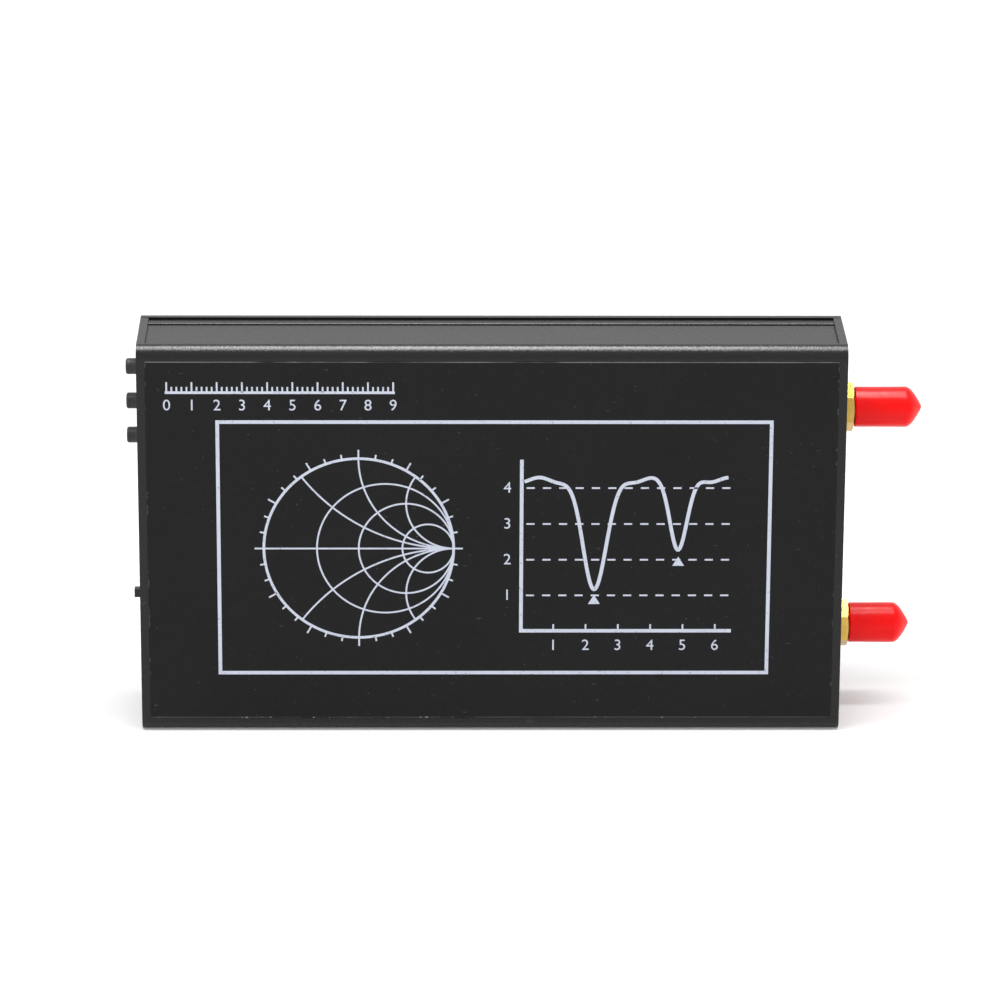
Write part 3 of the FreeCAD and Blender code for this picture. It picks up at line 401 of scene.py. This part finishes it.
def tidy_mesh(mesh):
    """Merges doubled points, such as poles, and turns the faces of the closed shape outwards."""
    work = bmesh.new()
    work.from_mesh(mesh)
    bmesh.ops.remove_doubles(work, verts=work.verts, dist=1e-7)
    bmesh.ops.dissolve_degenerate(work, dist=1e-8, edges=work.edges)
    bmesh.ops.recalc_face_normals(work, faces=work.faces)
    work.to_mesh(mesh)
    work.free()
    return mesh


def refined(line, step):
    """The line with extra points, so that no run is longer than step."""
    out = [line[0]]
    for a, b in zip(line[:-1], line[1:]):
        count = max(1, int(math.ceil(float(np.linalg.norm(b - a)) / step)))
        out.extend(a + (b - a) * (k + 1) / count for k in range(count))
    return np.array(out)


def port_axis(number):
    low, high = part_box(f"port_{number}_socket")
    return (low.y + high.y) / 2, (low.z + high.z) / 2


def dust_cap(number):
    """A sleeve with a bullet nose, a bore and a soft rolled rim.

    Over the nose r = radius * sin(90 degrees * sqrt(s * (s + 0.12) / 1.12)), with s the share of the
    nose from its tip: nearly a cone there, with a small round end. The skin leaves the turned shape by
    a hundredth of its radius: r * (1 + a sum of slow sines of the angle and the place along the cap),
    as dipped vinyl does."""
    low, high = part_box(f"dust_cap_{number}")
    y, z = port_axis(number)
    start, end = low.x, high.x
    radius = (high.z - low.z) / 2
    bore, nose, depth = CAP_BORE_RADIUS, CAP_NOSE_LENGTH, end - CAP_WEB
    share = np.linspace(0, 1, 29) ** 1.8
    swell = np.sin(np.pi / 2 * np.sqrt(share * (share + 0.12) / 1.12))
    tip = np.stack([end - nose * share, radius * swell], 1)
    sleeve = rounded_line([
        (end - nose - 0.1 * MM, radius),
        (start, radius, 0.28 * MM),
        (start, bore, 0.18 * MM),
        (depth, bore, 0.6 * MM),
        (depth, 0),
    ], 8)
    line = refined(np.concatenate([tip, sleeve]), 0.35 * MM)
    angle = np.arange(96) * 2 * np.pi / 96
    along = (line[:, 0] - start) / radius
    wave = np.sin(2 * angle + 1.3 * along[:, None] + number) * 0.006
    wave += np.sin(3 * angle - 0.8 * along[:, None] + 2 * number) * 0.004
    outside = line[:, 1] > bore * 1.04
    wave *= np.where(outside | (line[:, 0] > depth + 0.05 * MM), 1.0, 0.0)[:, None]
    rows = line[:, 1][:, None] * (1 + wave - 0.01 * (wave != 0))
    mesh = turned_mesh(f"dust_cap_skin_{number}", line[:, 0], rows, y, z, 96)
    add_piece(f"dust_cap_skin_{number}", mesh, "cap_red", f"cap_{number}", [f"dust_cap_{number}"])


def button(number):
    """A turned cap: crowned face, rounded rim, straight stem and retaining flange."""
    low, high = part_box(f"button_cap_{number}")
    y, z = (low.y + high.y) / 2, (low.z + high.z) / 2
    face = case_low.x + BUTTON_FACE_INSET
    stem, flange = BUTTON_STEM_RADIUS, (high.z - low.z) / 2
    line = rounded_line([
        (low.x, 0),
        (low.x + 0.03 * MM, 1.0 * MM, 1.2 * MM),
        (low.x + 0.06 * MM, stem, 0.42 * MM),
        (face, stem),
        (face, flange, 0.1 * MM),
        (high.x, flange, 0.1 * MM),
        (high.x, 0),
    ], 8)
    mesh = turned_mesh(f"button_top_{number}", line[:, 0], line[:, 1], y, z, 48)
    add_piece(f"button_top_{number}", mesh, "button_black", f"button_{number}", [f"button_cap_{number}"])


def port_barrel(number):
    """The threaded barrel with its stepped bore, and the block behind it with its four prongs.

    The thread is one helix: r = crest - depth * |2 * frac(x / pitch - t / turn) - 1| over its length,
    fading out at both ends."""
    low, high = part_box(f"port_{number}_socket")
    y, z = port_axis(number)
    crest, pitch, depth = THREAD_CREST_RADIUS, THREAD_PITCH, THREAD_DEPTH
    back, mouth = wall_outside, high.x
    outer = refined(np.array([(back, crest), (mouth, crest)]), pitch / 8)
    steps = 72
    angle = np.arange(steps) / steps
    phase = (outer[:, 0][:, None] - back) / pitch - angle[None, :]
    groove = np.abs(2 * (phase - np.floor(phase)) - 1)
    fade = np.clip((mouth - 0.25 * MM - outer[:, 0]) / (0.4 * MM), 0, 1)
    fade *= np.clip((outer[:, 0] - back - 1.2 * MM) / (0.4 * MM), 0, 1)
    rows = crest - depth * groove * fade[:, None]
    rows[-1] -= 0.15 * MM
    bore = [
        (mouth, 2.35 * MM),
        (mouth - 2.0 * MM, 2.35 * MM),
        (mouth - 2.0 * MM, 2.05 * MM),
        (back - 2.8 * MM, 2.05 * MM),
        (back - 2.8 * MM, 3.0 * MM),
        (back, 3.0 * MM),
    ]
    along = np.concatenate([outer[:, 0], [x for x, r in bore]])
    radius = np.concatenate([rows, [[r] * steps for x, r in bore]])
    mesh = turned_mesh(f"port_barrel_{number}", along, radius, y, z, steps)
    add_piece(f"port_barrel_{number}", mesh, "gold_plate", "case", [f"port_{number}_socket"])
    block = (high.z - low.z) / 2
    board_low, board_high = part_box("main_board")
    boxes = [((board_high.x, y - block, z + s * block * 0.5 - block / 2),
              (back, y + block, z + s * block * 0.5 + block / 2)) for s in (-1, 1)]
    # Two prongs lie on each face of the board
    half, thick = 0.6 * MM, 1.0 * MM
    prongs = (board_high.y, board_high.y + thick), (board_low.y - thick, board_low.y)
    for side in (-1, 1):
        edge = z + side * (block - half)
        for base, top in prongs:
            boxes.append(((low.x, base, edge - half), (board_high.x, top, edge + half)))
    block_mesh = box_mesh(f"port_block_{number}", boxes)
    add_piece(f"port_block_{number}", block_mesh, "gold_plate", "case", smooth=False)


def box_mesh(name, boxes):
    """Several closed blocks in one mesh, each from its low and high corner."""
    pattern = np.array([(i, j, k) for i in (0, 1) for j in (0, 1) for k in (0, 1)])
    sides = np.array([(0, 1, 3, 2), (4, 6, 7, 5), (0, 4, 5, 1), (2, 3, 7, 6), (0, 2, 6, 4), (1, 5, 7, 3)])
    points, faces = [], []
    for low, high in boxes:
        low, high = np.array(low), np.array(high)
        faces.append(sides + 8 * len(points))
        points.append(low + pattern * (high - low))
    mesh = bpy.data.meshes.new(name)
    mesh.from_pydata(np.concatenate(points).tolist(), [], np.concatenate(faces).tolist())
    return mesh


class Print:
    """Flat ink on the label: ribbons and figures gathered in the label's plane, in X and Z.

    Each stroke lies a hair above the one before, up to sixteen, so that crossing strokes share
    no surface."""

    def __init__(self):
        self.points = []
        self.faces = []
        self.strokes = 0

    def add(self, points, faces):
        start = len(self.points)
        rise = (self.strokes % 16) * STROKE_RISE
        self.strokes += 1
        self.points.extend((x, z, rise) for x, z in points)
        self.faces.extend([[start + i for i in face] for face in faces])

    def ribbon(self, line, width, closed=False):
        """A band of even width along a line: each point moves half the width along its mitre."""
        line = np.asarray(line, float)
        if closed:
            before, after = np.roll(line, 1, 0), np.roll(line, -1, 0)
        else:
            before = np.concatenate([line[:1] * 2 - line[1:2], line[:-1]])
            after = np.concatenate([line[1:], line[-1:] * 2 - line[-2:-1]])
        into, away = line - before, after - line
        into /= np.linalg.norm(into, axis=1)[:, None]
        away /= np.linalg.norm(away, axis=1)[:, None]
        side = np.stack([-(into + away)[:, 1], (into + away)[:, 0]], 1)
        side /= np.linalg.norm(side, axis=1)[:, None]
        cosine = np.abs(side[:, 0] * -into[:, 1] + side[:, 1] * into[:, 0])
        shift = side * (width / 2 / np.maximum(cosine, 0.35))[:, None]
        points = np.concatenate([line + shift, line - shift])
        count = len(line)
        last = count if closed else count - 1
        faces = [(i, (i + 1) % count, count + (i + 1) % count, count + i) for i in range(last)]
        self.add(points.tolist(), faces)

    def ring(self, x, z, radius, width, first=0.0, last=360.0, steps=72):
        """Part of a circle, its points at even steps of the angle in degrees."""
        turn = np.radians(np.linspace(first, last, steps + 1))
        line = np.stack([x + radius * np.cos(turn), z + radius * np.sin(turn)], 1)
        whole = abs(last - first) >= 360
        self.ribbon(line[:-1] if whole else line, width, whole)

    def figures(self, text, x, z, height):
        """Plain figures centred at x, z, with capitals of about the given height."""
        curve = bpy.data.curves.new("figures", "FONT")
        curve.body = text
        curve.align_x = "CENTER"
        curve.align_y = "CENTER"
        curve.size = height * 1.42  # Capitals are about 0.7 of the font's size
        curve.resolution_u = 4
        holder = bpy.data.objects.new("figures", curve)
        mesh = bpy.data.meshes.new_from_object(holder)
        points = [(p.co.x + x, p.co.y + z) for p in mesh.vertices]
        self.add(points, [list(face.vertices) for face in mesh.polygons])
        bpy.data.objects.remove(holder)
        bpy.data.meshes.remove(mesh)

    def piece(self, name, thick):
        """Stands the ink on the label as a closed skin of the given thickness."""
        y = label_low.y
        points = [(x * MM, y - rise * MM, z * MM) for x, z, rise in self.points]
        mesh = bpy.data.meshes.new(name)
        mesh.from_pydata(points, [], self.faces)
        flip_towards(mesh, -1)
        piece = add_piece(name, mesh, "label_film", "case", material=white_print(), smooth=False)
        solid = piece.modifiers.new("ink", "SOLIDIFY")
        solid.thickness = thick
        solid.offset = 1.0


def flip_towards(mesh, sign):
    """Turns each flat face so that its normal's Y has the given sign."""
    work = bmesh.new()
    work.from_mesh(mesh)
    work.normal_update()
    wrong = [face for face in work.faces if face.normal.y * sign < 0]
    bmesh.ops.reverse_faces(work, faces=wrong)
    work.to_mesh(mesh)
    work.free()


def ruler(ink):
    """Ten tall ticks with plain numbers under them, and four short ticks between each two."""
    start, pitch, base = -59.5, 4.6, 66.4
    ink.ribbon([(start - 0.3, base), (start + 9 * pitch + 0.3, base)], MIDDLING)
    for tick in range(46):
        tall = 2.0 if tick % 5 == 0 else 1.1
        x = start + tick * pitch / 5
        ink.ribbon([(x, base), (x, base + tall)], THIN)
    for number in range(10):
        ink.figures(str(number), start + number * pitch, base - 2.5, FIGURE_HEIGHT)


def round_chart(ink):
    """Circles that touch at the right end, cut by arcs through the same point, with ticks around."""
    x, z, radius = -24.5, 36.2, 17.5
    ink.ring(x, z, radius, MIDDLING, steps=120)
    for share in (0.72, 0.5, 0.27):
        ink.ring(x + radius * (1 - share), z, radius * share, THIN, steps=96)
    ink.ribbon([(x - radius, z), (x + radius, z)], THIN)
    for bend in (2.0, 1.0, 0.5):
        span = 2 * math.degrees(math.atan(1 / bend))
        ink.ring(x + radius, z + radius * bend, radius * bend, THIN, 270 - span, 270)
        ink.ring(x + radius, z - radius * bend, radius * bend, THIN, 90, 90 + span)
    for step in range(36):
        turn = math.radians(step * 10)
        reach = radius + (1.7 if step % 3 == 0 else 1.0)
        near = (x + radius * math.cos(turn), z + radius * math.sin(turn))
        ink.ribbon([near, (x + reach * math.cos(turn), z + reach * math.sin(turn))], THIN)


def plot(ink):
    """Axes, a dashed grid with its numbers, and a curve with two dips, each over a small triangle."""
    left, right, low, high = 5.5, 44.5, 20.0, 53.5
    ink.ribbon([(left, high), (left, low), (right, low)], BOLD)
    for row in range(1, 5):
        height = low + row * 7.0
        for dash in range(13):
            begin = left + 0.9 + dash * 3.0
            ink.ribbon([(begin, height), (begin + 1.5, height)], THIN)
        ink.figures(str(row), left - 2.6, height, FIGURE_HEIGHT)
    for column in range(1, 7):
        begin = left + column * 6.0
        ink.ribbon([(begin, low), (begin, low + 1.3)], THIN)
        ink.figures(str(column), begin, low - 2.9, FIGURE_HEIGHT)
    across = np.linspace(left + 0.5, right - 1.0, 160)
    first_dip, second_dip = 19.0, 34.5
    dips = 21.0 * np.exp(-(((across - first_dip) / 3.1) ** 2))
    dips += 13.5 * np.exp(-(((across - second_dip) / 2.2) ** 2))
    ink.ribbon(np.stack([across, 49.6 - dips + 0.45 * np.sin(across * 0.9)], 1), BOLD)
    for x, bottom in ((first_dip, 28.4), (second_dip, 35.9)):
        tip = bottom - 1.3
        ink.add([(x, tip), (x - 1.1, tip - 1.8), (x + 1.1, tip - 1.8)], [(0, 1, 2)])


def printed_back():
    """A generic design of the photo's colour and scale: a frame, a ruler, a round chart and a plot."""
    ink = Print()
    left, right, low, high = -50.3, 51.25, 11.7, 60.75
    ink.ribbon([(left, low), (right, low), (right, high), (left, high)], BOLD, True)
    ruler(ink)
    round_chart(ink)
    plot(ink)
    ink.piece("back_print", INK_THICKNESS)


def soft_light(name, spot, aim, wide, tall, power):
    """A rectangular lamp at a spot, turned towards its aim."""
    data = bpy.data.lights.new(name, "AREA")
    data.shape = "RECTANGLE"
    data.size, data.size_y = wide, tall
    data.energy = power
    lamp = bpy.data.objects.new(name, data)
    bpy.context.scene.collection.objects.link(lamp)
    lamp.location = spot
    lamp.rotation_euler = (Vector(aim) - Vector(spot)).to_track_quat("-Z", "Y").to_euler()
    return lamp


def white_world():
    """A plain white surround that is seen a little brighter than it lights diffuse surfaces."""
    world = bpy.data.worlds.new("studio")
    bpy.context.scene.world = world
    world.use_nodes = True
    tree = world.node_tree
    background = tree.nodes["Background"]
    background.inputs["Color"].default_value = (1, 1, 1, 1)
    path = tree.nodes.new("ShaderNodeLightPath")
    seen = path.outputs["Is Camera Ray"]
    for other in ("Is Glossy Ray", "Is Transmission Ray"):
        either = tree.nodes.new("ShaderNodeMath")
        either.operation = "MAXIMUM"
        tree.links.new(seen, either.inputs[0])
        tree.links.new(path.outputs[other], either.inputs[1])
        seen = either.outputs[0]
    strength = tree.nodes.new("ShaderNodeMapRange")
    strength.inputs["To Min"].default_value = 0.82
    strength.inputs["To Max"].default_value = 1.0
    tree.links.new(seen, strength.inputs["Value"])
    tree.links.new(strength.outputs[0], background.inputs["Strength"])


def pale_floor():
    """A white floor that is lit a little from within wherever it is seen, so that it meets the surround."""
    size = 4.0
    corners = [(-size, -size, 0), (size, -size, 0), (size, size, 0), (-size, size, 0)]
    mesh = bpy.data.meshes.new("floor")
    mesh.from_pydata(corners, [], [(0, 1, 2, 3)])
    floor = bpy.data.objects.new("floor", mesh)
    bpy.context.scene.collection.objects.link(floor)
    paint = Paint("floor_white")
    path = paint.node("ShaderNodeLightPath", output="Is Camera Ray")
    seen = path.math("MAXIMUM", paint.node("ShaderNodeLightPath", output="Is Glossy Ray"))
    seen = seen.math("MAXIMUM", paint.node("ShaderNodeLightPath", output="Is Transmission Ray"))
    glow = paint.mix(seen, (0.0, 0.0, 0.0), (0.1, 0.1, 0.1))
    paint.feed(paint.shader.inputs["Emission Color"], glow)
    white = (0.93, 0.93, 0.93)
    mesh.materials.append(paint.finish(white, 0.9, Specular_IOR_Level=0.1, Emission_Strength=1.0))


def camera():
    """The photograph's camera, from a fit to the corners of the case: angles, distance and focal length."""
    lift, turn, roll = math.radians(19.08), math.radians(-0.855), math.radians(0.289)
    distance, focal_pixels, picture = 988.1 * MM, 5307.2, 1000
    depth_middle = (case_low.y + case_high.y) / 2
    target = Vector((1.68 * MM, depth_middle, 41.85 * MM))
    back = Vector((math.sin(turn) * math.cos(lift), -math.cos(turn) * math.cos(lift), math.sin(lift)))
    right = Vector((math.cos(turn), math.sin(turn), 0))
    up = back.cross(right)
    level, tilt = math.cos(roll), math.sin(roll)
    right, up = level * right + tilt * up, level * up - tilt * right
    data = bpy.data.cameras.new("camera")
    data.sensor_width = 36
    data.lens = focal_pixels * data.sensor_width / picture
    data.clip_start = 0.05
    data.clip_end = 20
    eye = bpy.data.objects.new("camera", data)
    bpy.context.scene.collection.objects.link(eye)
    turned = Matrix((right, up, back)).transposed().to_4x4()
    eye.matrix_world = Matrix.Translation(target + back * distance) @ turned
    bpy.context.scene.camera = eye


dress_nodes()
for number in (1, 2):
    dust_cap(number)
    port_barrel(number)
for number in (1, 2, 3):
    button(number)
printed_back()

white_world()
pale_floor()
soft_light("overhead", (0.0, -0.16, 0.75), (0, -0.01, 0.05), 0.9, 0.09, 3.6)
# Seen in gloss alone, this one draws the highlight along the top bead
gleam = soft_light("gleam", (0.0, 0.09, 0.75), (0, -0.01, 0.07), 0.25, 0.36, 7.0)
gleam.visible_diffuse = False
soft_light("left_side", (-0.8, -0.3, 0.45), (0, 0, 0.04), 0.4, 0.4, 1.3)
camera()
scene = bpy.context.scene
scene.view_settings.view_transform = "Standard"
